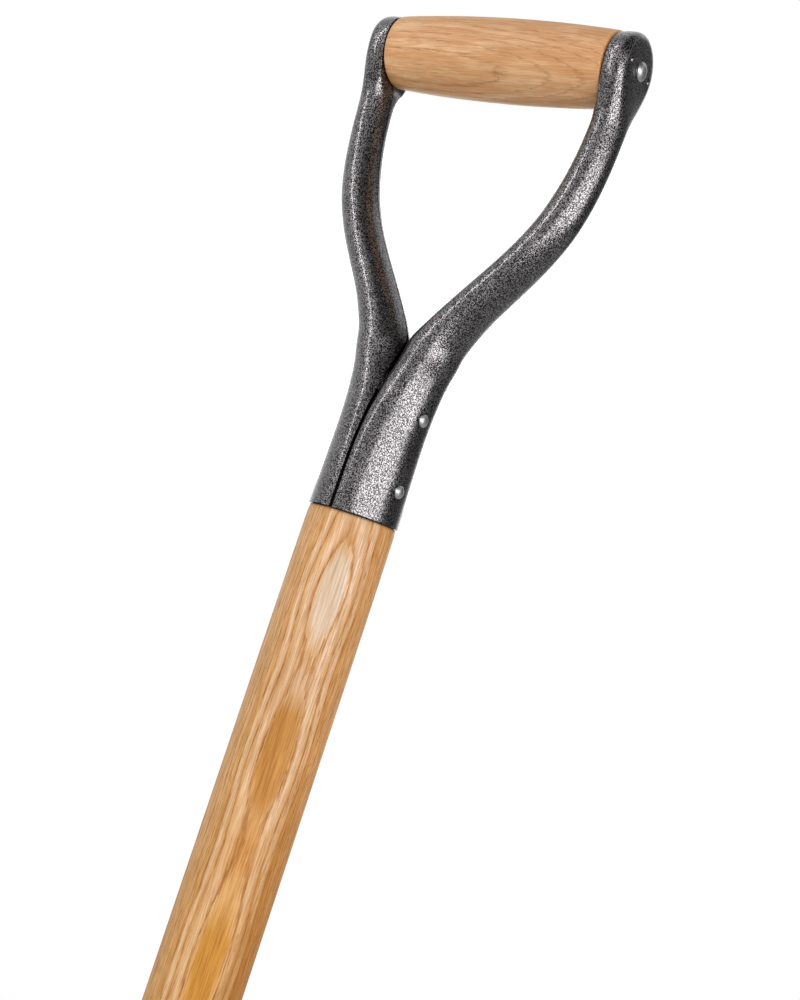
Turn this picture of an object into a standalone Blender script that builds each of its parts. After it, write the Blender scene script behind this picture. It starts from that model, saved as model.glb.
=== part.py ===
"""Pointed spade with a two-piece pressed steel yoke, a turned wooden grip and shaft, and a
pointed blade held between two riveted straps.

Units are metres, +Z is up, the grip lies along X and the hollow front of the blade faces -Y.
The origin is the point under the middle of the grip, where a hook carries the hanging spade.
"""

import math

import bmesh
import bpy
import numpy as np

FIT_GAP = 0.0003

# Wooden grip
GRIP_MID_RADIUS = 0.0177
GRIP_END_RADIUS = 0.0157
GRIP_LENGTH = 0.1046
GRIP_EDGE_ROUND = 0.0008

# Rod through the grip and the pins that stop it turning
GRIP_RIVET_RADIUS = 0.0030
GRIP_RIVET_HEAD_RADIUS = 0.0044
GRIP_RIVET_HEAD_HEIGHT = 0.0022
LOCK_PIN_RADIUS = 0.0010
LOCK_PIN_OFFSET = 0.0097
LOCK_PIN_BITE = 0.0080
LOCK_PIN_STAND = 0.0005

# Pressed steel yoke
SHEET_THICKNESS = 0.0015
YOKE_HEIGHT = 0.2042
SOCKET_RADIUS = 0.0193
TUBE_RADIUS = 0.0085
SEAM_GAP = 0.0017
SEAM_CURL_RADIUS = 0.0020
SEAM_CURL_ANGLE = math.radians(42)
TUBE_ROLL_ANGLE = math.radians(88)
EYE_RADIUS = 0.0155
EYE_THICKNESS = 0.0103
EYE_OUTER_ROUND = 0.0034
EYE_INNER_ROUND = 0.0021
EYE_NECK_LENGTH = 0.0280
EYE_SLIT = 0.0006
SEAT_STEP_LENGTH = 0.0075
SEAT_STEP_DEPTH = 0.0090

# Rivets through the socket, turned a little forward of the sides
YOKE_RIVET_HEIGHTS = {"lower": 0.0143, "upper": 0.0451}
YOKE_RIVET_TURN = math.radians(-9)
YOKE_RIVET_RADIUS = 0.0018
YOKE_RIVET_HEAD_RADIUS = 0.0031
YOKE_RIVET_HEAD_HEIGHT = 0.0015

# Wooden shaft
SHAFT_RADIUS = 0.0196
SHAFT_TOP_SHRINK = 0.0005
SHAFT_LENGTH = 0.7120
SHAFT_EDGE_ROUND = 0.0010
SPIGOT_LENGTH = 0.0540
SPIGOT_STRAIGHT = 0.0220
SPIGOT_CLEARANCE = 0.0009
SPIGOT_END_RADIUS = 0.0086
WEDGE_LENGTH = 0.2150
WEDGE_HALF_DEPTH = 0.0055
WEDGE_HALF_WIDTH = 0.0170

# Blade
BLADE_LENGTH = 0.2900
BLADE_TOP_WIDTH = 0.1840
BLADE_SIDE_WIDTH = 0.1740
BLADE_SIDE_LENGTH = 0.1400
BLADE_TIP_WIDTH = 0.0060
BLADE_POINT_POWER = 1.8
BLADE_THICKNESS = 0.0022
BLADE_CANT = math.radians(7)
BLADE_BOW = 0.0060
BLADE_DISH = 0.0110
BLADE_SHAFT_GAP = 0.0010
TREAD_DEPTH = 0.0130
TREAD_BEND_RADIUS = 0.0035
TREAD_INNER_HALF = 0.0340

# Straps on the front and the back of the shaft and the blade
STRAP_THICKNESS = 0.0026
STRAP_CLEARANCE = 0.0005
STRAP_HALF_WIDTH = 0.0150
TONGUE_HALF_WIDTH = 0.0270
TONGUE_END_POWER = 2.2
STRAP_END_HALF_FLAT = 0.0030
STRAP_RISE = {"front": 0.2050, "back": 0.1650}
TONGUE_DROP = {"front": 0.0860, "back": 0.0760}
LANDING_LENGTH = 0.0240
STRAP_RIVET_RISES = {"lower": 0.0350, "middle": 0.0850, "upper": 0.1350}
STRAP_RIVET_RADIUS = 0.0025
STRAP_RIVET_HEAD_RADIUS = 0.0048
STRAP_RIVET_HEAD_HEIGHT = 0.0020
STRAP_RIVET_CLEARANCE = 0.0006
BLADE_RIVET_DROPS = {"upper": 0.0350, "lower": 0.0560}
BLADE_RIVET_HALF_SPACING = 0.0120

# How finely the surfaces are divided
SECTION_SEGMENTS = 20
EYE_ROWS = 6
ROUND_STEPS = 26
RIVET_STEPS = 12
PIN_STEPS = 8
GRIP_ROWS = 8
WEDGE_ROWS = 9
BLADE_ROWS = 14
BLADE_ROW_POWER = 1.25
STRAP_COLUMNS = 7
LANDING_ROWS = 5
TONGUE_ROWS = 6
ROUND_TOP_ROWS = 3
CURL_WEIGHT = 1.3
RIM_WEIGHT = 2.5
RIM_STEPS = 12
WELD_DISTANCE = 0.00001
SLOPE_STEP = 0.001

GRIP_AXIS_Z = GRIP_MID_RADIUS
SOCKET_MOUTH_Z = GRIP_AXIS_Z - YOKE_HEIGHT
EYE_INNER_X = GRIP_LENGTH / 2 + FIT_GAP
EYE_OUTER_X = EYE_INNER_X + EYE_THICKNESS
EYE_MIDDLE_X = (EYE_INNER_X + EYE_OUTER_X) / 2
SHAFT_FACE_Z = SOCKET_MOUTH_Z - FIT_GAP
SHAFT_TOP_Z = SOCKET_MOUTH_Z + SPIGOT_LENGTH
SHAFT_FOOT_Z = SHAFT_TOP_Z - SHAFT_LENGTH
WEDGE_TOP_Z = SHAFT_FOOT_Z + WEDGE_LENGTH
SPIGOT_RADIUS = SOCKET_RADIUS - SHEET_THICKNESS - SPIGOT_CLEARANCE
BLADE_TOP_Z = SHAFT_FOOT_Z - BLADE_SHAFT_GAP
SEAT_HEIGHT = YOKE_HEIGHT - GRIP_END_RADIUS - FIT_GAP

# Stations of a yoke half from the socket's mouth to the grip's axis, one row each:
# share of the yoke's height, share of the way out to the eye, how far the half width and the
# half depth are from the tube's towards the socket's, and how far the strip is rolled closed.
YOKE_STATIONS = (
    (0.000, 0.000, 1.00, 0.990, 0.00),
    (0.108, 0.000, 0.97, 0.970, 0.00),
    (0.196, 0.016, 0.91, 0.815, 0.10),
    (0.284, 0.087, 0.69, 0.593, 0.45),
    (0.323, 0.149, 0.48, 0.528, 0.75),
    (0.353, 0.206, 0.33, 0.491, 0.95),
    (0.382, 0.246, 0.22, 0.430, 1.00),
    (0.421, 0.319, 0.13, 0.370, 1.00),
    (0.480, 0.449, 0.03, 0.300, 1.00),
    (0.578, 0.693, 0.00, 0.213, 1.00),
    (0.676, 0.866, 0.02, 0.074, 1.00),
    (0.774, 0.952, -0.03, 0.019, 1.00),
    (0.872, 0.989, -0.09, 0.055, 1.00),
    (1.000, 1.000, -0.12, 0.055, 1.00),
)
ROWS_BETWEEN_STATIONS = (2, 2, 2, 2, 2, 2, 2, 2, 2, 3, 2, 2, 4)

# Shares of the yoke's height between which the sections turn square to the leaning arm
LEAN_SHARES = (0.196, 0.416)


def clear_scene():
    for obj in list(bpy.data.objects):
        bpy.data.objects.remove(obj, do_unlink=True)


def make_collection(name):
    collection = bpy.data.collections.new(name)
    bpy.context.scene.collection.children.link(collection)
    return collection


def make_material(name, colour, roughness, metallic):
    material = bpy.data.materials.new(name)
    material.use_nodes = True
    shader = material.node_tree.nodes["Principled BSDF"]
    shader.inputs["Base Color"].default_value = (*colour, 1.0)
    shader.inputs["Roughness"].default_value = roughness
    shader.inputs["Metallic"].default_value = metallic
    return material


def add_object(name, mesh, material):
    """Puts a mesh in the spade's collection, smooth where it is round."""
    obj = bpy.data.objects.new(name, mesh)
    mesh.materials.append(material)
    mesh.shade_smooth()
    mesh.set_sharp_from_angle(angle=math.radians(35))
    bpy.data.collections["pointed_spade"].objects.link(obj)
    return obj


def mesh_from(name, points, faces, edges=()):
    mesh = bpy.data.meshes.new(name)
    mesh.from_pydata([tuple(p) for p in points], list(edges), faces)
    return mesh


def weld_mesh(mesh):
    """Joins points that coincide and drops the faces that collapse."""
    work = bmesh.new()
    work.from_mesh(mesh)
    bmesh.ops.remove_doubles(work, verts=work.verts, dist=WELD_DISTANCE)
    work.to_mesh(mesh)
    work.free()


def smoothstep(low, high, value):
    t = min(max((value - low) / (high - low), 0.0), 1.0)
    return t * t * (3 - 2 * t)


def mix(a, b, share):
    return a + (b - a) * share


def eased(stations, column, share):
    """A column of the stations read at a share of the height, with no overshoot between them."""
    at = np.array([row[0] for row in stations])
    values = np.array([row[column] for row in stations])
    rises = np.diff(values) / np.diff(at)
    slopes = np.zeros(len(at))
    for i in range(1, len(at) - 1):
        if rises[i - 1] * rises[i] > 0:
            slopes[i] = 2 * rises[i - 1] * rises[i] / (rises[i - 1] + rises[i])
    k = int(np.clip(np.searchsorted(at, share) - 1, 0, len(at) - 2))
    span = at[k + 1] - at[k]
    t = float(np.clip((share - at[k]) / span, 0.0, 1.0))
    start = (2 * t**3 - 3 * t**2 + 1) * values[k] + (t**3 - 2 * t**2 + t) * span * slopes[k]
    return start + (3 * t**2 - 2 * t**3) * values[k + 1] + (t**3 - t**2) * span * slopes[k + 1]


def grid_faces(row_count, column_count, wanted=lambda row, column: True):
    """Quads of a grid of points, row after row, with the first row's columns running first."""
    return [
        (
            r * column_count + c,
            r * column_count + c + 1,
            (r + 1) * column_count + c + 1,
            (r + 1) * column_count + c,
        )
        for r in range(row_count - 1)
        for c in range(column_count - 1)
        if wanted(r, c)
    ]


def sheet_object(name, rows, thickness, offset, material, wanted=lambda row, column: True):
    """Sheet metal through rows of points. Offset 1 thickens it along its faces' normals."""
    points = [p for row in rows for p in row]
    mesh = mesh_from(name, points, grid_faces(len(rows), len(rows[0]), wanted))
    weld_mesh(mesh)
    drop_loose_points(mesh)
    obj = add_object(name, mesh, material)
    solidify = obj.modifiers.new("sheet thickness", "SOLIDIFY")
    solidify.thickness = thickness
    solidify.offset = offset
    solidify.use_even_offset = True
    return obj


def drop_loose_points(mesh):
    work = bmesh.new()
    work.from_mesh(mesh)
    loose = [v for v in work.verts if not v.link_faces]
    bmesh.ops.delete(work, geom=loose, context="VERTS")
    work.to_mesh(mesh)
    work.free()


def turned(name, profile, steps, material, closed=False):
    """Solid of revolution about Z from (radius, height) points that run down the outside."""
    edges = [(i, i + 1) for i in range(len(profile) - 1)]
    if closed:
        edges.append((len(profile) - 1, 0))
    obj = add_object(name, mesh_from(name, [(r, 0.0, z) for r, z in profile], [], edges), material)
    screw = obj.modifiers.new("turned", "SCREW")
    screw.axis = "Z"
    screw.angle = math.tau
    screw.steps = steps
    screw.render_steps = steps
    screw.use_merge_vertices = True
    screw.merge_threshold = WELD_DISTANCE
    screw.use_smooth_shade = True
    return obj


def aim(obj, place, direction):
    """Turns the object's Z axis to a direction and puts its origin at a place."""
    unit = np.asarray(direction, float) / np.linalg.norm(direction)
    obj.rotation_mode = "XYZ"
    obj.rotation_euler = (0.0, math.acos(np.clip(unit[2], -1.0, 1.0)), math.atan2(unit[1], unit[0]))
    obj.location = place


def dome(radius, height, base, segments=3):
    """Profile of a rivet's domed head, from its crown down to its rim."""
    angles = [math.pi / 2 * k / segments for k in range(segments + 1)]
    return [(radius * math.sin(a), base + height * math.cos(a)) for a in angles]


def rivet(name, place, direction, half_grip, shank_radius, head_radius, head_height, material):
    """Rivet about its middle, with a domed head outside half_grip at each end."""
    top = dome(head_radius, head_height, half_grip) + [(shank_radius, half_grip)]
    profile = top + [(r, -z) for r, z in reversed(top)]
    obj = turned(name, profile, RIVET_STEPS, material)
    aim(obj, place, direction)
    return obj


def drill(targets, name, place, direction, radius, length, sides=RIVET_STEPS):
    """Cuts one round hole through each target with a cylinder."""
    mesh = bpy.data.meshes.new(name)
    work = bmesh.new()
    bmesh.ops.create_cone(
        work, cap_ends=True, segments=sides, radius1=radius, radius2=radius, depth=length
    )
    work.to_mesh(mesh)
    work.free()
    cutter = bpy.data.objects.new(name, mesh)
    aim(cutter, place, direction)
    bpy.data.collections["cutters"].objects.link(cutter)
    cutter.hide_render = True
    cutter.display_type = "WIRE"
    for target in targets:
        cut = target.modifiers.new(name, "BOOLEAN")
        cut.operation = "DIFFERENCE"
        cut.object = cutter


def arc(centre, radii, start, end, segments=16):
    """Points of an ellipse's arc between two angles."""
    angles = [mix(start, end, k / segments) for k in range(segments + 1)]
    return [
        (centre[0] + radii[0] * math.cos(a), centre[1] + radii[1] * math.sin(a)) for a in angles
    ]


def even_steps(pieces, segments):
    """One path through (points, weight) pieces, with closer steps where the weight is higher."""
    points = [np.asarray(pieces[0][0][0], float)]
    run = [0.0]
    for piece, weight in pieces:
        for p in piece:
            p = np.asarray(p, float)
            run.append(run[-1] + weight * float(np.linalg.norm(p - points[-1])))
            points.append(p)
    points = np.array(points)
    wanted = np.linspace(0.0, run[-1], segments + 1)
    return np.stack([np.interp(wanted, run, points[:, k]) for k in range(2)], axis=1)


def station(height):
    """Half widths, half depths and place of a yoke half's section at a height."""
    share = height / YOKE_HEIGHT
    centre = EYE_MIDDLE_X * eased(YOKE_STATIONS, 1, share)
    width = mix(TUBE_RADIUS, SOCKET_RADIUS, eased(YOKE_STATIONS, 2, share))
    depth = mix(TUBE_RADIUS, SOCKET_RADIUS, eased(YOKE_STATIONS, 3, share))
    closed = eased(YOKE_STATIONS, 4, share)
    curl = (mix(SEAM_CURL_RADIUS, width, closed), mix(SEAM_CURL_RADIUS, depth, closed))
    roll = mix(SEAM_CURL_ANGLE, TUBE_ROLL_ANGLE, closed)
    middle = max(centre, SEAM_GAP / 2 + curl[0] * math.sin(roll))
    return centre, width, depth, middle, curl, roll


def half_section(height):
    """Front half of the strip's outer line, from the middle of its outside to its free edge."""
    centre, width, depth, middle, curl, roll = station(height)
    turn = math.acos(min((middle - centre) / width, 1.0))
    outer = arc((centre, 0.0), (width, depth), 0.0, turn)
    top = depth * math.sin(turn)
    inner = arc((middle, top - curl[1]), curl, math.pi / 2, math.pi / 2 + roll)
    return even_steps([(outer, 1.0), (inner, CURL_WEIGHT)], SECTION_SEGMENTS // 2)


def eye_rim(rise, rim_x, way, rounding, turns):
    """A rounded rim of the eye in a level slice, turned outwards (way 1) or inwards (way -1)."""
    ring = EYE_RADIUS - rounding
    return [
        (rim_x + way * rounding * math.cos(a), slice_reach(ring + rounding * math.sin(a), rise))
        for a in (mix(*turns, k / RIM_STEPS) for k in range(RIM_STEPS + 1))
    ]


def slice_reach(ring, rise):
    """Half the width of a ring where a level slice cuts it."""
    return math.sqrt(max(ring**2 - rise**2, 0.0))


def eye_half_slice(rise):
    """Half of a level slice through the eye, a flat cup with rounded rims, at or above its axis."""
    pieces = []
    upright = math.pi / 2
    outer_ring = EYE_RADIUS - EYE_OUTER_ROUND
    inner_ring = EYE_RADIUS - EYE_INNER_ROUND
    if rise < outer_ring:
        face = [(EYE_OUTER_X, 0.0), (EYE_OUTER_X, slice_reach(outer_ring, rise))]
        pieces.append((face, 1.0))
    first = math.asin(np.clip((rise - outer_ring) / EYE_OUTER_ROUND, 0.0, 1.0))
    outer_x = EYE_OUTER_X - EYE_OUTER_ROUND
    outer_rim = eye_rim(rise, outer_x, 1, EYE_OUTER_ROUND, (first, upright))
    last = math.asin(np.clip((rise - inner_ring) / EYE_INNER_ROUND, 0.0, 1.0))
    inner_x = EYE_INNER_X + EYE_INNER_ROUND
    inner_rim = eye_rim(rise, inner_x, -1, EYE_INNER_ROUND, (upright, last))
    pieces += [(outer_rim, RIM_WEIGHT), (inner_rim, RIM_WEIGHT)]
    end = inner_rim[-1]
    if rise < inner_ring:
        pieces.append(([end, (EYE_INNER_X, min(EYE_SLIT / 2, end[1]))], 1.0))
    return even_steps(pieces, SECTION_SEGMENTS // 2)


def whole_section(half):
    """Both halves of a section as one line from the back free edge to the front one."""
    back = [(x, y) for x, y in reversed(half)]
    return back + [(x, -y) for x, y in half[1:]]


def arm_row(height, side):
    """A section of a yoke half, square to the arm where the arm leans out."""
    centre, _, _, middle, _, _ = station(height)
    slope = (station(height + SLOPE_STEP)[0] - station(height - SLOPE_STEP)[0]) / (2 * SLOPE_STEP)
    neck = smoothstep(YOKE_HEIGHT - EYE_NECK_LENGTH, YOKE_HEIGHT, height)
    leaning = smoothstep(*LEAN_SHARES, height / YOKE_HEIGHT)
    lean = math.atan(slope) * leaning * (1 - neck)
    section = mix(half_section(height), eye_half_slice(0.0), neck)
    seated = smoothstep(SEAT_HEIGHT - SEAT_STEP_LENGTH, SEAT_HEIGHT, height)
    if seated > 0:
        section[:, 0] = np.maximum(section[:, 0], EYE_INNER_X - SEAT_STEP_DEPTH * (1 - seated))
    return [
        (
            side * (middle + (x - middle) * math.cos(lean)),
            y,
            SOCKET_MOUTH_Z + height - (x - middle) * math.sin(lean),
        )
        for x, y in whole_section(section)
    ]


def eye_row(turn, side):
    """A level of the eye's upper half, a turn from its axis up to its top."""
    section = eye_half_slice(EYE_RADIUS * math.sin(turn))
    z = GRIP_AXIS_Z + EYE_RADIUS * math.sin(turn)
    return [(side * x, y, z) for x, y in whole_section(section)]


def yoke_heights():
    """Heights of the arm's sections, closer together where its shape changes fast."""
    heights = []
    for (low, high), count in zip(zip(YOKE_STATIONS, YOKE_STATIONS[1:]), ROWS_BETWEEN_STATIONS):
        heights += [YOKE_HEIGHT * mix(low[0], high[0], k / count) for k in range(count)]
    step = [SEAT_HEIGHT - SEAT_STEP_LENGTH * k / 3 for k in range(4)]
    clear = [h for h in heights if min(abs(h - s) for s in step) > SEAT_STEP_LENGTH / 4]
    return sorted(clear + step)


def yoke_half(name, side, material):
    """A pressed half: half a socket with curled seam edges, rolled into a tube and an eye."""
    rows = [arm_row(height, side) for height in yoke_heights()]
    rows += [eye_row(math.pi / 2 * k / EYE_ROWS, side) for k in range(EYE_ROWS + 1)]
    return sheet_object(name, rows, SHEET_THICKNESS, side, material)


def socket_reach(height):
    """Distance from the socket's axis to its outside, along the yoke rivets."""
    centre, width, depth, _, _, _ = station(height)
    sideways = math.cos(YOKE_RIVET_TURN)
    forward = math.sin(YOKE_RIVET_TURN)
    a = (sideways / width) ** 2 + (forward / depth) ** 2
    b = -2 * centre * sideways / width**2
    c = (centre / width) ** 2 - 1
    return (-b + math.sqrt(b * b - 4 * a * c)) / (2 * a)


def wooden_grip(material):
    """Barrel between the eyes, bored for the rod."""
    half = GRIP_LENGTH / 2
    bulge = GRIP_MID_RADIUS - GRIP_END_RADIUS
    arch_radius = (half**2 + bulge**2) / (2 * bulge)

    def radius_at(x):
        return GRIP_MID_RADIUS - arch_radius + math.sqrt(arch_radius**2 - x**2)

    bore = GRIP_RIVET_RADIUS + FIT_GAP
    side = half - GRIP_EDGE_ROUND
    corner = arc(
        (radius_at(side) - GRIP_EDGE_ROUND, side),
        (GRIP_EDGE_ROUND, GRIP_EDGE_ROUND),
        math.pi / 2,
        0.0,
        3,
    )
    barrel = [(radius_at(x), x) for x in np.linspace(side, -side, GRIP_ROWS + 1)[1:-1]]
    profile = [(bore, half)] + corner + barrel
    profile += [(r, -x) for r, x in reversed(corner)] + [(bore, -half)]
    obj = turned("wooden_grip", profile, ROUND_STEPS, material, closed=True)
    aim(obj, (0.0, 0.0, GRIP_AXIS_Z), (1, 0, 0))
    return obj


def lock_pin(name, side, front, material):
    """Pin from the eye's outside into the grip, with a slightly crowned end."""
    inner = GRIP_LENGTH / 2 - LOCK_PIN_BITE
    outer = EYE_OUTER_X + LOCK_PIN_STAND
    length = outer - inner
    profile = dome(LOCK_PIN_RADIUS, LOCK_PIN_STAND, length / 2 - LOCK_PIN_STAND, 2)
    profile += [(LOCK_PIN_RADIUS, -length / 2), (0.0, -length / 2)]
    obj = turned(name, profile, PIN_STEPS, material)
    place = (side * (inner + outer) / 2, -front * LOCK_PIN_OFFSET, GRIP_AXIS_Z)
    aim(obj, place, (side, 0, 0))
    return place


def grip_fastenings(grip, halves, material):
    """Rod through the grip and both eyes, and two lock pins in each eye."""
    rivet(
        "grip_rivet",
        (0.0, 0.0, GRIP_AXIS_Z),
        (1, 0, 0),
        EYE_OUTER_X + FIT_GAP,
        GRIP_RIVET_RADIUS,
        GRIP_RIVET_HEAD_RADIUS,
        GRIP_RIVET_HEAD_HEIGHT,
        material,
    )
    drill(
        halves.values(),
        "rod_hole",
        (0.0, 0.0, GRIP_AXIS_Z),
        (1, 0, 0),
        GRIP_RIVET_RADIUS + FIT_GAP,
        2 * EYE_OUTER_X + 2 * EYE_THICKNESS,
    )
    for side, hand in ((-1, "left"), (1, "right")):
        for front, where in ((1, "front"), (-1, "back")):
            place = lock_pin(f"lock_pin_{hand}_{where}", side, front, material)
            inner = GRIP_LENGTH / 2 - LOCK_PIN_BITE - FIT_GAP
            outer = EYE_OUTER_X + EYE_THICKNESS
            middle = (side * (inner + outer) / 2, place[1], place[2])
            drill(
                (grip, halves[hand]),
                f"lock_pin_hole_{hand}_{where}",
                middle,
                (side, 0, 0),
                LOCK_PIN_RADIUS + FIT_GAP,
                outer - inner,
                PIN_STEPS,
            )


def shaft_half_axes(z):
    """Half width along X and half depth along Y of the shaft below its shoulder."""
    top = SHAFT_RADIUS - SHAFT_TOP_SHRINK
    radius = mix(SHAFT_RADIUS, top, smoothstep(WEDGE_TOP_Z, SHAFT_FACE_Z, z))
    wedge = smoothstep(WEDGE_TOP_Z, SHAFT_FOOT_Z, z)
    return mix(radius, WEDGE_HALF_WIDTH, wedge), mix(radius, WEDGE_HALF_DEPTH, wedge)


def wedge_heights():
    """Heights of the wedge's sections, which the straps on it share."""
    return list(np.linspace(WEDGE_TOP_Z, SHAFT_FOOT_Z, WEDGE_ROWS + 1)[1:])


def shaft_object(material):
    """Round shaft with a tapered spigot in the socket and a flat wedge between the straps."""
    stations = [(SHAFT_TOP_Z, (SPIGOT_END_RADIUS, SPIGOT_END_RADIUS))]
    for z in (SOCKET_MOUTH_Z + SPIGOT_STRAIGHT, SHAFT_FACE_Z):
        stations.append((z, (SPIGOT_RADIUS, SPIGOT_RADIUS)))
    shoulder = shaft_half_axes(SHAFT_FACE_Z)[0] - SHAFT_EDGE_ROUND
    for angle in (90, 45, 0):
        a = math.radians(angle)
        radius = shoulder + SHAFT_EDGE_ROUND * math.cos(a)
        stations.append((SHAFT_FACE_Z - SHAFT_EDGE_ROUND * (1 - math.sin(a)), (radius, radius)))
    for z in np.linspace(SHAFT_FACE_Z - 2 * SHAFT_EDGE_ROUND, WEDGE_TOP_Z, 4)[1:]:
        stations.append((z, shaft_half_axes(z)))
    for z in wedge_heights():
        stations.append((z, shaft_half_axes(z)))
    angles = [math.tau * k / ROUND_STEPS for k in range(ROUND_STEPS + 1)]
    rows = [[(a * math.cos(t), b * math.sin(t), z) for t in angles] for z, (a, b) in stations]
    mesh = mesh_from("shaft", [p for row in rows for p in row], grid_faces(len(rows), len(angles)))
    weld_mesh(mesh)
    close_and_face_out(mesh)
    return add_object("shaft", mesh, material)


def close_and_face_out(mesh):
    """Fills open ends with flat faces and turns all faces outwards."""
    work = bmesh.new()
    work.from_mesh(mesh)
    bmesh.ops.holes_fill(work, edges=[e for e in work.edges if e.is_boundary], sides=0)
    bmesh.ops.recalc_face_normals(work, faces=work.faces)
    work.to_mesh(mesh)
    work.free()


def blade_half_width(drop):
    """Half width of the blade at a distance down from its top edge."""
    top = BLADE_TOP_WIDTH / 2
    side = BLADE_SIDE_WIDTH / 2
    tip = BLADE_TIP_WIDTH / 2
    if drop <= BLADE_SIDE_LENGTH:
        return mix(top, side, drop / BLADE_SIDE_LENGTH)
    share = (drop - BLADE_SIDE_LENGTH) / (BLADE_LENGTH - BLADE_SIDE_LENGTH)
    return mix(side, tip, share**BLADE_POINT_POWER)


def blade_y(x, drop):
    """Depth of the blade's middle surface: canted, bowed and dished towards the front."""
    canted = -drop * math.tan(BLADE_CANT)
    bowed = -BLADE_BOW * (drop / BLADE_LENGTH) ** 2
    dished = -BLADE_DISH * (2 * x / BLADE_TOP_WIDTH) ** 2
    return canted + bowed + dished


def blade_columns():
    """Shares of the half width, with a column where the treads begin."""
    inner = 2 * TREAD_INNER_HALF / BLADE_TOP_WIDTH
    half = list(np.linspace(0.0, inner, 4)) + list(np.linspace(inner, 1.0, 6)[1:])
    return [-s for s in reversed(half[1:])] + half


def blade_object(material):
    """Pressed blade, with its top edge folded forward into a tread on each side."""
    columns = blade_columns()
    shares = [1 - (k / BLADE_ROWS) ** BLADE_ROW_POWER for k in range(BLADE_ROWS + 1)]
    rows = []
    for drop in [BLADE_LENGTH * share for share in shares]:
        across = [s * blade_half_width(drop) for s in columns]
        rows.append([(x, blade_y(x, drop), BLADE_TOP_Z - drop) for x in across])
    edge = rows[-1]
    body_rows = len(rows)
    for angle in (30, 60, 90):
        a = math.radians(angle)
        back = TREAD_BEND_RADIUS * (1 - math.cos(a))
        rows.append([(x, y - back, z + TREAD_BEND_RADIUS * math.sin(a)) for x, y, z in edge])
    rows.append([(x, y - TREAD_DEPTH, z) for x, y, z in rows[-1]])

    def wanted(row, column):
        middle = abs(columns[column] + columns[column + 1]) / 2
        return row < body_rows - 1 or middle * BLADE_TOP_WIDTH / 2 > TREAD_INNER_HALF

    return sheet_object("blade", rows, BLADE_THICKNESS, 0.0, material, wanted)


def strap_half_width(z, top_z, end_z):
    """Half width of a strap: parallel on the shaft, widening to a tongue with a round end."""
    widest_z = BLADE_TOP_Z - LANDING_LENGTH
    spread = smoothstep(BLADE_TOP_Z + LANDING_LENGTH / 2, widest_z, z)
    width = mix(STRAP_HALF_WIDTH, TONGUE_HALF_WIDTH, spread)
    if z < widest_z:
        share = (widest_z - z) / (widest_z - end_z)
        width *= math.sqrt(max(1 - share**TONGUE_END_POWER, 0.0))
    if z > top_z - STRAP_HALF_WIDTH:
        share = (z - top_z + STRAP_HALF_WIDTH) / STRAP_HALF_WIDTH
        width *= math.sqrt(max(1 - share**2, 0.0))
    return max(width, STRAP_END_HALF_FLAT)


def strap_inner_y(x, z, facing):
    """Depth of a strap's inner face, clear of the shaft above and of the blade below."""
    drop = max(BLADE_TOP_Z - z, 0.0)
    width, depth = shaft_half_axes(max(z, SHAFT_FOOT_Z))
    share = min(abs(x) / (width + STRAP_CLEARANCE), 1.0)
    on_shaft = facing * (depth + STRAP_CLEARANCE) * math.sqrt(1 - share**2)
    on_blade = blade_y(x, drop) + facing * (BLADE_THICKNESS / 2 + STRAP_CLEARANCE)
    landed = smoothstep(0.0, LANDING_LENGTH, drop)
    return facing * max(facing * mix(on_shaft, on_blade, landed), facing * on_blade)


def strap_heights(top_z, end_z):
    """Heights of a strap's rows: its round top, its length on the wedge, its step down and tongue."""
    quarter = math.pi / 2
    turns = [quarter * k / ROUND_TOP_ROWS for k in range(ROUND_TOP_ROWS + 1)]
    heights = [top_z - STRAP_HALF_WIDTH * (1 - math.cos(turn)) for turn in turns]
    last_round = heights[-1] - STRAP_HALF_WIDTH / ROUND_TOP_ROWS
    landing_z = BLADE_TOP_Z + LANDING_LENGTH
    widest_z = BLADE_TOP_Z - LANDING_LENGTH
    heights += [z for z in wedge_heights() if last_round > z > landing_z]
    heights += list(np.linspace(landing_z, widest_z, LANDING_ROWS + 1))
    turns = [quarter * k / TONGUE_ROWS for k in range(1, TONGUE_ROWS + 1)]
    return heights + [end_z + (widest_z - end_z) * math.cos(turn) for turn in turns]


def strap_object(name, facing, material):
    """Strap that hugs the shaft, comes down onto the blade and ends in a tongue."""
    where = "front" if facing < 0 else "back"
    top_z = SHAFT_FOOT_Z + STRAP_RISE[where]
    end_z = BLADE_TOP_Z - TONGUE_DROP[where]
    rows = []
    for z in strap_heights(top_z, end_z):
        half = strap_half_width(z, top_z, end_z)
        across = np.linspace(-half, half, STRAP_COLUMNS)
        rows.append([(x, strap_inner_y(x, z, facing), z) for x in across])
    return sheet_object(name, rows, STRAP_THICKNESS, facing, material)


def blade_normal(x, drop):
    """Direction square to the blade's front face."""
    step = SLOPE_STEP
    across = (blade_y(x + step, drop) - blade_y(x - step, drop)) / (2 * step)
    down = (blade_y(x, drop + step) - blade_y(x, drop - step)) / (2 * step)
    return np.array([across, -1.0, -down])


def strap_rivet(label, place, direction, core, targets, material):
    """Rivet through both straps and the sheet or the shaft, half as thick as core, between them."""
    half_grip = core + STRAP_CLEARANCE + STRAP_THICKNESS + STRAP_RIVET_CLEARANCE
    rivet(
        label,
        place,
        direction,
        half_grip,
        STRAP_RIVET_RADIUS,
        STRAP_RIVET_HEAD_RADIUS,
        STRAP_RIVET_HEAD_HEIGHT,
        material,
    )
    length = 2 * (half_grip + STRAP_THICKNESS)
    drill(targets, f"{label}_hole", place, direction, STRAP_RIVET_RADIUS + FIT_GAP, length)


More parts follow.
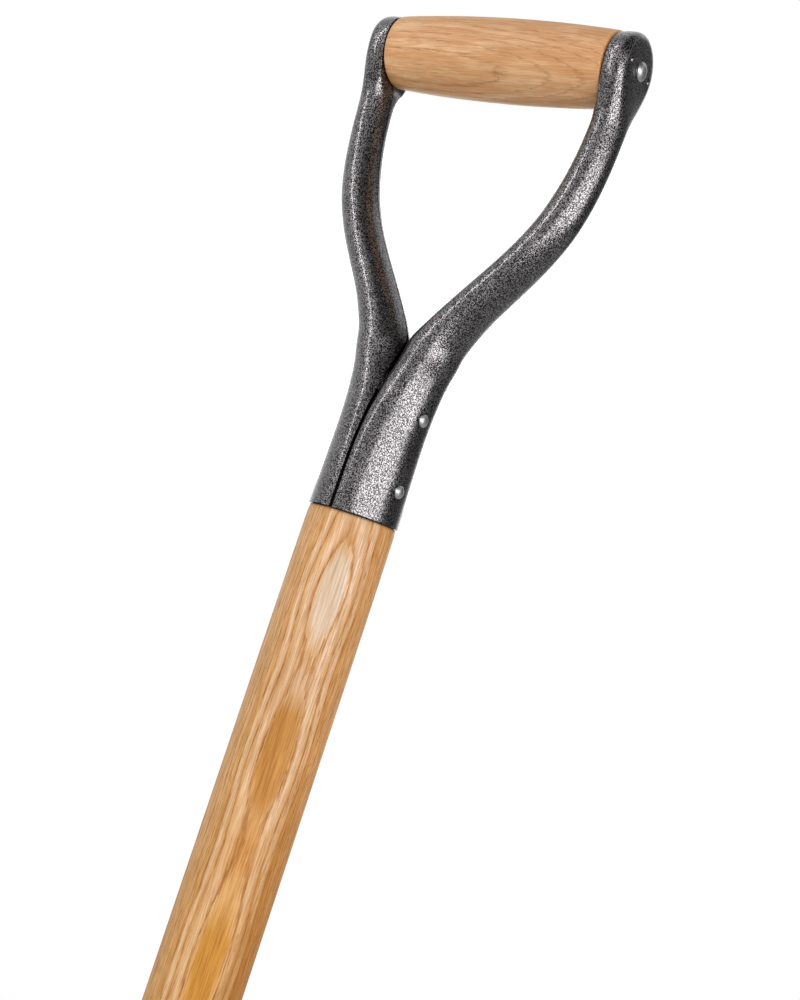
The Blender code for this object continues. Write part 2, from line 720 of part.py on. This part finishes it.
def head_end_fastenings(shaft, blade, straps, material):
    """Rivets through both straps and the shaft, and through both straps and the blade."""
    for where, rise in STRAP_RIVET_RISES.items():
        place = (0.0, 0.0, SHAFT_FOOT_Z + rise)
        core = shaft_half_axes(place[2])[1]
        strap_rivet(f"strap_rivet_{where}", place, (0, -1, 0), core, [shaft, *straps], material)
    for where, drop in BLADE_RIVET_DROPS.items():
        for side, hand in ((-1, "left"), (1, "right")):
            x = side * BLADE_RIVET_HALF_SPACING
            place = (x, blade_y(x, drop), BLADE_TOP_Z - drop)
            label = f"blade_rivet_{hand}_{where}"
            core = BLADE_THICKNESS / 2
            strap_rivet(label, place, blade_normal(x, drop), core, [blade, *straps], material)


def socket_fastenings(shaft, halves, material):
    """Two rivets through the socket and the shaft's spigot."""
    direction = (math.cos(YOKE_RIVET_TURN), math.sin(YOKE_RIVET_TURN), 0)
    for where, height in YOKE_RIVET_HEIGHTS.items():
        place = (0.0, 0.0, SOCKET_MOUTH_Z + height)
        reach = socket_reach(height)
        rivet(
            f"yoke_rivet_{where}",
            place,
            direction,
            reach + FIT_GAP,
            YOKE_RIVET_RADIUS,
            YOKE_RIVET_HEAD_RADIUS,
            YOKE_RIVET_HEAD_HEIGHT,
            material,
        )
        drill(
            [shaft, *halves.values()],
            f"yoke_rivet_hole_{where}",
            place,
            direction,
            YOKE_RIVET_RADIUS + FIT_GAP,
            2 * (reach + SHEET_THICKNESS),
        )


def build():
    clear_scene()
    make_collection("pointed_spade")
    make_collection("cutters")
    enamel = make_material("grey_hammertone_enamel", (0.16, 0.17, 0.18), 0.35, 0.6)
    wood = make_material("oiled_ash", (0.62, 0.40, 0.20), 0.45, 0.0)
    steel = make_material("bright_steel", (0.72, 0.72, 0.73), 0.25, 1.0)
    halves = {
        "left": yoke_half("yoke_half_left", -1, enamel),
        "right": yoke_half("yoke_half_right", 1, enamel),
    }
    grip = wooden_grip(wood)
    grip_fastenings(grip, halves, steel)
    shaft = shaft_object(wood)
    socket_fastenings(shaft, halves, steel)
    blade = blade_object(enamel)
    straps = [strap_object("strap_front", -1, enamel), strap_object("strap_back", 1, enamel)]
    head_end_fastenings(shaft, blade, straps, steel)


build()
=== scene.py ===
"""Looks of the pointed spade: hammertone enamel on the steel, oiled ash on the grip and the shaft.

Units are metres, in the frame's own axes: the grip lies along X, the shaft hangs down along Z and
the hollow front of the blade faces -Y.
"""

import math

import bmesh
import bpy
from mathutils import Euler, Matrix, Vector


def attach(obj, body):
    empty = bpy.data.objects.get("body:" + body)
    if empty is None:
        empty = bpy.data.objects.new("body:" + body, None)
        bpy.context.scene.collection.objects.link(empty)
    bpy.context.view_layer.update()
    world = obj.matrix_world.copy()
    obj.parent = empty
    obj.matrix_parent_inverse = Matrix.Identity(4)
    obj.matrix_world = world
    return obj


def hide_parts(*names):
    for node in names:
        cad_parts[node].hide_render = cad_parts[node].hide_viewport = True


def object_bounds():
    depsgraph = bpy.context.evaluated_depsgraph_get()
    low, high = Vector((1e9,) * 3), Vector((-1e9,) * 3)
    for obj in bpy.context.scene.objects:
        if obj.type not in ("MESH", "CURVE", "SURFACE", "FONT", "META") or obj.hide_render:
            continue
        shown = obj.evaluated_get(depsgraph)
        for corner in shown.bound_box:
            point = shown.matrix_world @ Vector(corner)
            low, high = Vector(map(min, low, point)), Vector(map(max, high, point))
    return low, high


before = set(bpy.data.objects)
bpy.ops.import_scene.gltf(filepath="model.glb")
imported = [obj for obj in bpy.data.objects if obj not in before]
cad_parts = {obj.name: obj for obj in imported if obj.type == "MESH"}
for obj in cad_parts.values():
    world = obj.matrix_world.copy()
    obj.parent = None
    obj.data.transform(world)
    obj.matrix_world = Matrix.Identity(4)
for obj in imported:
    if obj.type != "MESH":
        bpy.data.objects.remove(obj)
cad_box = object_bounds()

# Camera, at the photograph's viewing angle
CAMERA_PLACE = Vector((0.3118, -0.4829, -0.2179))
CAMERA_TURN = Euler([math.radians(a) for a in (94.599, -18.264, 29.784)])
CAMERA_LENS_MM = 50
CAMERA_SENSOR_MM = 36

# Lamps that face one point: radiance, azimuth from +X towards +Y and elevation in degrees, then
# distance, width and height
LIT_POINT = Vector((0.0, 0.0, -0.10))
LAMPS = {
    "key": (5.6, -28, 3, 1.4, 2.00, 0.56),
    "strip": (23.0, -122, 27, 1.4, 0.06, 1.10),
    "fill": (2.6, 122, 14, 1.6, 1.30, 0.70),
}

# The world's light on the spade, and the black flags that the gloss shows: azimuth and elevation of
# the middle, and the angles from it at which a flag starts to fade and ends
SKY_LIGHT = 0.46
FLAGS = ((-28, 52, 32, 48), (52, 8, 27, 43))
FLAG_LIGHT = 0.13

# The floor: its grey, the distances over which it fades to a white glow, the glow's shares at them,
# and how much of the glow lights the spade and shows in its gloss
FLOOR_SIZE = 14.0
FLOOR_GAP = 0.0005
FLOOR_LEVEL = 0.80
FLOOR_FADE = (0.9, 2.2)
FLOOR_GLOW = (0.55, 1.0)
FLOOR_BOUNCE = 0.55
FLOOR_MIRRORED = 0.5

# Finer copies of the nodes, with angles in degrees
WELD_DISTANCE = 1e-6
JOINED_FACES_ANGLE = 30
JOINED_SHAPE_ANGLE = 50
RIM_ANGLE = 50
RIM_SEGMENTS = 2
SHEET_RIM = 0.0004

# Nodes of sheet steel, rivets and pins, and the height of the socket's mouth
STEEL_SHEETS = ("yoke_half_left", "yoke_half_right", "blade", "strap_front", "strap_back")
FASTENINGS = tuple(n for n in sorted(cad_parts) if "rivet" in n or "pin" in n)
SOCKET_MOUTH_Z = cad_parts["yoke_half_left"].bound_box[0][2]

# Hammertone: pale flecks on a dark ground, under a broad mottling
FLECKS = {"Scale": 2000.0, "Detail": 1.0, "Roughness": 0.5, "Distortion": 0.6}
FLECK_COLOURS = (
    (0.44, (0.002, 0.002, 0.002)),
    (0.50, (0.022, 0.021, 0.022)),
    (0.56, (0.250, 0.233, 0.237)),
)
MOTTLING = {"Scale": 90.0, "Detail": 3.0}
MOTTLING_LEVELS = ((0.30, 0.80), (0.70, 1.15))
ENAMEL = {"Metallic": 0.9, "Coat_Weight": 0.5, "Coat_Roughness": 0.11}
ENAMEL_ROUGHNESS = (0.32, 0.25)
ENAMEL_BUMP = {"Distance": 0.00008, "Strength": 1.0}

# Bright steel with fine scuffs
SCUFFS = {"Scale": 700.0, "Detail": 3.0}
STEEL_COLOURS = ((0.3, (0.36, 0.36, 0.37)), (0.7, (0.52, 0.52, 0.53)))
STEEL_ROUGHNESS = (0.34, 0.48)
STEEL_BUMP = {"Distance": 0.00008, "Strength": 0.5}

# Noises drawn out along the fibres: size across them, size along them and detail
GRAINS = {
    "wander": (0.022, 0.090, 1.0),
    "shiver": (0.0022, 0.030, 2.0),
    "jag": (0.0008, 0.008, 1.0),
    "pores": (0.00040, 0.0045, 1.0),
    "dashes": (0.00032, 0.0060, 1.0),
    "fibres": (0.0006, 0.014, 3.0),
    "clouds": (0.005, 0.040, 1.0),
    "patches": (0.0040, 0.024, 2.0),
}

# What those noises give: the noise at which each starts and ends, then its two levels there
PORE_LEVELS = (-0.08, 0.12, 0.35, 1.0)
DASH_LEVELS = (0.06, 0.18, 0.0, 1.0)
CLOUD_LEVELS = (-0.22, 0.22, 0.92, 1.07)
PATCH_LEVELS = (-0.04, 0.18, 0.0, 0.5)

# The noise at which fibres are darkest and lightest, and how much they lighten for what they darken
FIBRE_ENDS = (-0.18, 0.18)
FIBRE_LIGHT_SHARE = 0.7

# The porous line over the share of a ring, how fibres tint and stand out, and the wood's gloss
RING_LINE = ((0.0, 0.0), (0.03, 1.0), (0.10, 0.8), (0.22, 0.0))
RED_POWER = 0.75
BLUE_POWER = 1.45
FIBRE_HEIGHT = 0.4
WOOD_BUMP = {"Distance": 0.00004, "Strength": 0.7}
WOOD_ROUGHNESS = (0.50, 0.66)
SHADOW_COLOUR = (0.010, 0.006, 0.003, 1.0)

# The logs that the pieces are sawn from: how far the pith lies behind the piece's middle and the
# flattest side before it, a ring's width and how deep the first ring line lies under that side; the
# first flame's place along the grain, the distance to the next one and its growth per metre; then
# the depth of the flames' wave, the slope of the rings and the depths of three noises
SHAFT_LOG = {
    "pith": 0.060,
    "surface": 0.0189,
    "ring": 0.0015,
    "rise": 0.00034,
    "flame": -0.219,
    "wave": 0.062,
    "wave_growth": 0.09,
    "swing": 0.00040,
    "lean": 0.0,
    "wander": 0.0006,
    "shiver": 0.0004,
    "jag": 0.0004,
}
GRIP_LOG = {
    "pith": 0.070,
    "surface": 0.0177,
    "ring": 0.0018,
    "rise": 0.00086,
    "flame": 0.034,
    "wave": 0.400,
    "wave_growth": 0.0,
    "swing": 0.0,
    "lean": -0.055,
    "wander": 0.0010,
    "shiver": 0.0006,
    "jag": 0.0009,
}

# Where the rings lie flat: azimuth round the shaft, and angle under the front of the grip
FLAME_AZIMUTH = -54
ARCH_DIP = 53

# Rings that the colour bands of each wood span, and how far each year of the shaft has its own tone
SHAFT_BANDS = (-9.0, 1.0)
GRIP_BANDS = (-6.0, 2.0)
YEAR_SHARE = 0.45

# The shaft's flames: the length that their colours span, the rings at their edge, how the upper one
# narrows along the grain, and the deeper amber in the lowest
FLAME_SPAN = (-0.400, -0.190)
FLAME_EDGE = (-0.10, 0.12)
FLAME_NARROWING = (-0.256, -0.246, 0.0, 0.10)
DEEP_AMBER = (("rings", 0.10, 0.30), ("along", -0.338, -0.362))

# Tints: factors, and windows of a measure from where the tint starts to where it is full
LOWER_TINT = ((0.97, 0.93, 0.80), (("along", -0.250, -0.360),))
# Painted light: the shaft's left side, which lies in shade, is lightened
LEFT_PAINTED_LIGHT = ((1.22, 1.27, 1.32), (("across", -0.003, -0.012),))
RIDGE_TINT = (
    (1.07, 1.16, 1.32),
    (("across", 0.001, 0.005), ("across", 0.012, 0.009), ("along", -0.350, -0.335)),
)
VALLEY_TINT = (
    (0.89, 0.76, 0.56),
    (("along", -0.311, -0.324), ("along", -0.346, -0.332), ("off_middle", 0.008, 0.005)),
)
# Painted light: the grip is lightened towards its left end
GRIP_END_PAINTED_LIGHT = ((1.14, 1.17, 1.21), (("along", 0.010, -0.045),))

# The shaft's right side, darkened by painted shade where the key lamp lights it, which has one tint
# above and another below
PAINTED_SHADE_RIGHT_SIDE = (("across", 0.003, 0.013),)
RIGHT_LOWER_PART = (("along", -0.270, -0.350),)
RIGHT_UPPER_SHADE_FACTORS = (0.90, 0.86, 0.78, 1.0)
RIGHT_LOWER_SHADE_FACTORS = (0.76, 0.65, 0.46, 1.0)

# How strong the shaft's ring lines and dashes are, by the distance from its middle
LINES_OFF_MIDDLE = (0.0008, 0.0050, 0.25, 0.85)
DASHES_TO_RIGHT = (0.002, 0.011, 0.12, 0.74)
DASHES_TO_LEFT = (-0.004, -0.012, 0.0, 0.32)

# Heights over which the shaft darkens at the socket's mouth
MOUTH_SHADOW = (SOCKET_MOUTH_Z - 0.0014, SOCKET_MOUTH_Z + 0.0002)


class Nodes:
    """Short calls that add and link the nodes of one tree."""

    def __init__(self, tree):
        self.tree = tree

    def add(self, kind, settings=None, **inputs):
        node = self.tree.nodes.new(kind)
        for key, value in (settings or {}).items():
            setattr(node, key, value)
        self.feed(node, inputs)
        return node

    def feed(self, node, inputs):
        """Sets or links inputs by name, with underscores for spaces."""
        for key, value in inputs.items():
            self.put(node.inputs[key.replace("_", " ")], value)

    def put(self, socket, value):
        if isinstance(value, bpy.types.NodeSocket):
            self.tree.links.new(value, socket)
        else:
            socket.default_value = value

    def math(self, operation, *values):
        node = self.add("ShaderNodeMath", {"operation": operation})
        for socket, value in zip(node.inputs, values):
            self.put(socket, value)
        return node.outputs[0]

    def dot(self, vector, axis):
        node = self.add("ShaderNodeVectorMath", {"operation": "DOT_PRODUCT"}, Vector=vector)
        node.inputs[1].default_value = Vector(axis).normalized()
        return node.outputs["Value"]

    def fit(self, value, low, high, to_low=0.0, to_high=1.0, kind="LINEAR"):
        """A value that goes from to_low at low to to_high at high, and no further."""
        ends = {"From_Min": low, "From_Max": high, "To_Min": to_low, "To_Max": to_high}
        node = self.add("ShaderNodeMapRange", {"interpolation_type": kind}, Value=value, **ends)
        return node.outputs[0]

    def noise(self, place, **settings):
        return self.add("ShaderNodeTexNoise", Vector=place, **settings).outputs["Fac"]

    def ramp(self, factor, stops):
        """Colour ramp through stops of a place and a colour or a grey level."""
        node = self.add("ShaderNodeValToRGB", Fac=factor)
        elements = node.color_ramp.elements
        while len(elements) < len(stops):
            elements.new(0.5)
        for element, (place, colour) in zip(elements, stops):
            element.position = place
            element.color = (*colour, 1.0) if isinstance(colour, tuple) else grey(colour)
        return node.outputs["Color"]

    def blend(self, factor, a, b, mode="MIX"):
        node = self.add("ShaderNodeMix", {"data_type": "RGBA", "blend_type": mode}, Factor=factor)
        self.put(node.inputs[6], a)
        self.put(node.inputs[7], b)
        return node.outputs[2]

    def rays(self, *kinds):
        """1 for light paths of any of these kinds."""
        path = self.add("ShaderNodeLightPath")
        total = path.outputs[f"Is {kinds[0]} Ray"]
        for kind in kinds[1:]:
            total = self.math("MAXIMUM", total, path.outputs[f"Is {kind} Ray"])
        return total


class Surface(Nodes):
    """The nodes of a new material."""

    def __init__(self, name):
        self.material = bpy.data.materials.new(name)
        self.material.use_nodes = True
        super().__init__(self.material.node_tree)
        self.place = self.add("ShaderNodeTexCoord").outputs["Object"]

    def shade(self, height, bump, **inputs):
        """Sets the main shader's inputs and a bump over a height."""
        normal = self.add("ShaderNodeBump", Height=height, **bump).outputs["Normal"]
        self.feed(self.tree.nodes["Principled BSDF"], {"Normal": normal, **inputs})


def grey(level):
    return (level, level, level, 1.0)


def shown_as(*levels):
    """Linear colour from the 0 to 255 levels that a screen shows, by the sRGB curve."""
    return tuple(((v / 255 + 0.055) / 1.055) ** 2.4 for v in levels)


def direction(azimuth, elevation):
    """Unit vector at an azimuth from +X towards +Y and an elevation, in degrees."""
    a, e = math.radians(azimuth), math.radians(elevation)
    return Vector((math.cos(a) * math.cos(e), math.sin(a) * math.cos(e), math.sin(e)))


def hammertone_enamel():
    """Dark grey hammertone: pale worm-like flecks, broad mottling and a fine dimpled bump."""
    n = Surface("hammertone_enamel")
    flecks = n.noise(n.place, **FLECKS)
    mottling = n.ramp(n.noise(n.place, **MOTTLING), MOTTLING_LEVELS)
    colour = n.blend(1.0, n.ramp(flecks, FLECK_COLOURS), mottling, "MULTIPLY")
    roughness = n.fit(flecks, 0.0, 1.0, *ENAMEL_ROUGHNESS)
    n.shade(flecks, ENAMEL_BUMP, Base_Color=colour, Roughness=roughness, **ENAMEL)
    return n.material


def bright_steel():
    n = Surface("rivet_steel")
    scuffs = n.noise(n.place, **SCUFFS)
    colour = n.ramp(scuffs, STEEL_COLOURS)
    roughness = n.fit(scuffs, 0.0, 1.0, *STEEL_ROUGHNESS)
    n.shade(scuffs, STEEL_BUMP, Base_Color=colour, Roughness=roughness, Metallic=1.0)
    return n.material


class Ash(Surface):
    """Sawn ash: growth rings about a pith beside the piece, with porous lines and fine fibres.

    facing is the side on which the rings lie flat and make flames, square to the grain.
    """

    def __init__(self, name, grain, facing, log):
        super().__init__(name)
        axes = (facing, Vector(grain).cross(facing), grain)
        self.out, self.across, self.along = (self.dot(self.place, axis) for axis in axes)
        self.off_middle = self.math("ABSOLUTE", self.across)
        self.rings = self.count_rings(log)

    def streaks(self, name):
        """Noise about 0, drawn out along the fibres."""
        across, along, detail = GRAINS[name]
        scaled = self.add("ShaderNodeCombineXYZ")
        measures = ((self.out, across), (self.across, across), (self.along, along))
        for socket, (value, size) in zip(scaled.inputs, measures):
            self.put(socket, self.math("DIVIDE", value, size))
        level = self.noise(scaled.outputs[0], Scale=1.0, Detail=detail)
        return self.math("SUBTRACT", level, 0.5)

    def count_rings(self, log):
        """Growth rings from the outermost one that the flattest side cuts, negative inwards."""
        from_pith = self.math("POWER", self.math("ADD", self.out, log["pith"]), 2)
        squares = self.math("ADD", from_pith, self.math("POWER", self.across, 2))
        depth = self.math("SQRT", squares)
        from_flame = self.math("SUBTRACT", self.along, log["flame"])
        wave = self.math("MULTIPLY_ADD", from_flame, -log["wave_growth"], log["wave"])
        phase = self.math("MULTIPLY", self.math("DIVIDE", from_flame, wave), math.tau)
        parts = [
            self.math("MULTIPLY", self.math("COSINE", phase), log["swing"]),
            self.math("MULTIPLY", from_flame, log["lean"]),
        ]
        for name in ("wander", "shiver", "jag"):
            parts.append(self.math("MULTIPLY", self.streaks(name), log[name]))
        for part in parts:
            depth = self.math("ADD", depth, part)
        flat = log["pith"] + log["surface"] - log["rise"]
        return self.math("DIVIDE", self.math("SUBTRACT", depth, flat), log["ring"])

    def year(self, darkest, lightest):
        """A tone of its own for each ring, between two colours."""
        count = self.math("FLOOR", self.rings)
        chance = self.add("ShaderNodeTexWhiteNoise", {"noise_dimensions": "1D"}, W=count)
        return self.blend(chance.outputs["Value"], (*darkest, 1.0), (*lightest, 1.0))

    def within(self, windows):
        """1 where every window's measure is past its second value, 0 before the first."""
        shares = [self.fit(getattr(self, name), start, full) for name, start, full in windows]
        total = shares[0]
        for share in shares[1:]:
            total = self.math("MULTIPLY", total, share)
        return total

    def tinted(self, tone, tint):
        factors, windows = tint
        return self.blend(self.within(windows), tone, (*factors, 1.0), "MULTIPLY")

    def finish(self, tone, line_colour, line_depth, dash_depth, fibre_depth, shadow, gloss):
        """Draws the porous line of each ring, pore dashes and fibres over a tone, and shades it."""
        line_colour = (*line_colour, 1.0)
        line = self.ramp(self.math("FRACT", self.math("MULTIPLY", self.rings, -1.0)), RING_LINE)
        shown = self.math("MULTIPLY", line, self.fit(self.streaks("pores"), *PORE_LEVELS))
        colour = self.blend(self.math("MULTIPLY", shown, line_depth), tone, line_colour)
        dashes = self.fit(self.streaks("dashes"), *DASH_LEVELS)
        colour = self.blend(self.math("MULTIPLY", dashes, dash_depth), colour, line_colour)
        fibre_levels = (1 - fibre_depth, 1 + fibre_depth * FIBRE_LIGHT_SHARE)
        fibres = self.fit(self.streaks("fibres"), *FIBRE_ENDS, *fibre_levels)
        clouds = self.fit(self.streaks("clouds"), *CLOUD_LEVELS)
        level = self.math("MULTIPLY", fibres, clouds)
        red = self.math("POWER", level, RED_POWER)
        blue = self.math("POWER", level, BLUE_POWER)
        warm = self.add("ShaderNodeCombineColor", Red=red, Green=level, Blue=blue)
        colour = self.blend(1.0, colour, warm.outputs["Color"], "MULTIPLY")
        self.shade(
            self.math("SUBTRACT", self.math("MULTIPLY", level, FIBRE_HEIGHT), shown),
            WOOD_BUMP,
            Base_Color=self.blend(shadow, colour, SHADOW_COLOUR),
            Roughness=self.fit(shown, 0.0, 1.0, *WOOD_ROUGHNESS),
            Specular_IOR_Level=gloss,
        )
        return self.material


def shaft_wood():
    """Golden ash with a cream flame below the socket and amber ones under it."""
    n = Ash("shaft_ash", (0, 0, 1), direction(FLAME_AZIMUTH, 0), SHAFT_LOG)
    golden, tan, pale = shown_as(200, 148, 92), shown_as(210, 164, 114), shown_as(232, 200, 168)
    cream, amber, deep = shown_as(208, 182, 155), shown_as(184, 128, 66), shown_as(194, 138, 64)
    dark_year, light_year = shown_as(182, 128, 72), shown_as(230, 194, 158)

    # Rings beside the flames, from the inner ones outwards
    inner = [(0.0, golden), (0.50, golden), (0.60, tan), (0.68, golden), (0.74, pale)]
    outer = [(0.80, golden), (0.86, pale), (0.90, golden), (1.0, tan)]
    tone = n.ramp(n.fit(n.rings, *SHAFT_BANDS), inner + outer)
    tone = n.blend(YEAR_SHARE, tone, n.year(dark_year, light_year))

    # Flames, from the lowest upwards
    cores = [(0.0, tan), (0.35, tan), (0.45, amber), (0.62, amber), (0.72, cream), (1.0, cream)]
    core = n.ramp(n.fit(n.along, *FLAME_SPAN), cores)
    core = n.blend(n.within(DEEP_AMBER), core, (*deep, 1.0))
    narrowed = n.math("SUBTRACT", n.rings, n.fit(n.along, *FLAME_NARROWING))
    tone = n.blend(n.fit(narrowed, *FLAME_EDGE), tone, core)

    # Darker and lighter parts, among them painted shade on the right side and painted light on the
    # left side
    tone = n.tinted(tone, LOWER_TINT)
    # Painted shade darkens the right side, which the key lamp lights, and darkens it more lower
    # down
    right = n.blend(n.within(RIGHT_LOWER_PART), RIGHT_UPPER_SHADE_FACTORS, RIGHT_LOWER_SHADE_FACTORS)
    tone = n.blend(n.within(PAINTED_SHADE_RIGHT_SIDE), tone, right, "MULTIPLY")
    # Among these, painted light lightens the shaft's left side
    for tint in (LEFT_PAINTED_LIGHT, RIDGE_TINT, VALLEY_TINT):
        tone = n.tinted(tone, tint)
    dash_depth = n.math("ADD", n.fit(n.across, *DASHES_TO_RIGHT), n.fit(n.across, *DASHES_TO_LEFT))
    return n.finish(
        tone,
        line_colour=shown_as(144, 84, 30),
        line_depth=n.fit(n.off_middle, *LINES_OFF_MIDDLE),
        dash_depth=dash_depth,
        fibre_depth=0.28,
        shadow=n.fit(n.along, *MOUTH_SHADOW),
        gloss=0.12,
    )


def grip_wood():
    """Paler ash, with arches that point to the right end of the grip."""
    n = Ash("grip_ash", (1, 0, 0), direction(-90, -ARCH_DIP), GRIP_LOG)
    warm, tan, pale = shown_as(200, 146, 96), shown_as(210, 163, 114), shown_as(226, 186, 142)
    bands = [(0.0, warm), (0.35, tan), (0.55, warm), (0.72, tan), (0.86, tan), (0.94, pale)]
    tone = n.ramp(n.fit(n.rings, *GRIP_BANDS), bands)
    tone = n.blend(n.fit(n.streaks("patches"), *PATCH_LEVELS), tone, (*pale, 1.0))
    # Painted light lightens the grip towards its left end
    return n.finish(
        n.tinted(tone, GRIP_END_PAINTED_LIGHT),
        line_colour=shown_as(146, 94, 50),
        line_depth=0.60,
        dash_depth=0.22,
        fibre_depth=0.20,
        shadow=0.0,
        gloss=0.50,
    )


def add_object(name, data):
    obj = bpy.data.objects.new(name, data)
    bpy.context.scene.collection.objects.link(obj)
    return obj


def refined(node, rim, levels):
    """A finer copy of a CAD node, with rounded rims, that stands for it."""
    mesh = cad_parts[node].data.copy()
    work = bmesh.new()
    work.from_mesh(mesh)
    bmesh.ops.remove_doubles(work, verts=work.verts, dist=WELD_DISTANCE)
    bmesh.ops.join_triangles(
        work,
        faces=work.faces,
        angle_face_threshold=math.radians(JOINED_FACES_ANGLE),
        angle_shape_threshold=math.radians(JOINED_SHAPE_ANGLE),
    )
    bmesh.ops.recalc_face_normals(work, faces=work.faces)
    work.to_mesh(mesh)
    work.free()
    mesh.materials.clear()
    mesh.shade_smooth()
    piece = add_object(f"{node}_shown", mesh)
    if rim:
        bevel = piece.modifiers.new("rounded rims", "BEVEL")
        bevel.width = rim
        bevel.segments = RIM_SEGMENTS
        bevel.limit_method = "ANGLE"
        bevel.angle_limit = math.radians(RIM_ANGLE)
    finer = piece.modifiers.new("finer", "SUBSURF")
    finer.levels = levels
    finer.render_levels = levels
    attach(piece, "root")
    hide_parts(node)
    return piece


def dress(nodes, material, rim=0.0, levels=1):
    """Lets a refined piece of one material stand for each of the nodes."""
    for node in nodes:
        piece = refined(node, rim, levels)
        piece.data.materials.append(material)


def add_camera():
    data = bpy.data.cameras.new("camera")
    data.lens = CAMERA_LENS_MM
    data.sensor_width = CAMERA_SENSOR_MM
    camera = add_object("camera", data)
    camera.location = CAMERA_PLACE
    camera.rotation_euler = CAMERA_TURN
    bpy.context.scene.camera = camera


def add_lamp(name, radiance, azimuth, elevation, distance, width, height):
    """Soft rectangular lamp that faces the lit point."""
    data = bpy.data.lights.new(name, "AREA")
    data.shape = "RECTANGLE"
    data.size = width
    data.size_y = height
    data.energy = radiance * math.pi * width * height
    lamp = add_object(name, data)
    out = direction(azimuth, elevation)
    lamp.location = LIT_POINT + distance * out
    lamp.rotation_euler = out.to_track_quat("Z", "Y").to_euler()


def flagged(n, azimuth, elevation, inner, outer):
    """1 outside a black flag and its faint light inside it, by the angle from its middle."""
    view = n.add("ShaderNodeTexCoord").outputs["Generated"]
    nearness = n.dot(view, direction(azimuth, elevation))
    ends = (math.cos(math.radians(angle)) for angle in (outer, inner))
    return n.fit(nearness, *ends, 1.0, FLAG_LIGHT, "SMOOTHSTEP")


def white_world():
    """Soft even light, seen as white by the camera and in reflections, but for the black flags."""
    world = bpy.data.worlds.new("studio")
    bpy.context.scene.world = world
    world.use_nodes = True
    n = Nodes(world.node_tree)
    flags = n.math("MINIMUM", *(flagged(n, *flag) for flag in FLAGS))
    mirrored = n.math("MULTIPLY", n.rays("Glossy", "Transmission"), flags)
    shown = n.math("MAXIMUM", n.rays("Camera"), mirrored)
    light = n.math("MULTIPLY", n.rays("Diffuse"), SKY_LIGHT)
    strength = n.math("MAXIMUM", shown, light)
    n.feed(n.tree.nodes["Background"], {"Color": grey(1.0), "Strength": strength})


def pale_floor(height):
    """Plain floor that keeps the spade's shadow near it and fades into the white background."""
    bpy.ops.mesh.primitive_plane_add(size=FLOOR_SIZE, location=(0, 0, height))
    floor = bpy.context.object
    floor.name = "floor"
    n = Surface("white_floor")
    away = n.add("ShaderNodeVectorMath", {"operation": "LENGTH"}, Vector=n.place)
    far = n.fit(away.outputs["Value"], *FLOOR_FADE, *FLOOR_GLOW)
    white = n.math("MULTIPLY", n.rays("Camera", "Glossy", "Transmission"), far)
    bounced = n.math("MULTIPLY", n.rays("Diffuse"), FLOOR_BOUNCE)
    dimmed = n.math("MULTIPLY", n.rays("Glossy"), 1 - FLOOR_MIRRORED)
    lit = n.add("ShaderNodeBsdfDiffuse", Color=grey(FLOOR_LEVEL))
    glow = n.add("ShaderNodeEmission", Strength=n.math("SUBTRACT", 1.0, dimmed))
    mixed = n.add("ShaderNodeMixShader", Fac=n.math("MAXIMUM", white, bounced))
    n.put(mixed.inputs[1], lit.outputs["BSDF"])
    n.put(mixed.inputs[2], glow.outputs["Emission"])
    n.feed(n.tree.nodes["Material Output"], {"Surface": mixed.outputs["Shader"]})
    floor.data.materials.append(n.material)


def main():
    dress(STEEL_SHEETS, hammertone_enamel(), rim=SHEET_RIM)
    dress(["wooden_grip"], grip_wood())
    dress(["shaft"], shaft_wood())
    dress(FASTENINGS, bright_steel(), levels=2)
    add_camera()
    for name, values in LAMPS.items():
        add_lamp(name, *values)
    white_world()
    pale_floor(cad_box[0].z - FLOOR_GAP)
    bpy.context.scene.view_settings.view_transform = "Standard"


main()
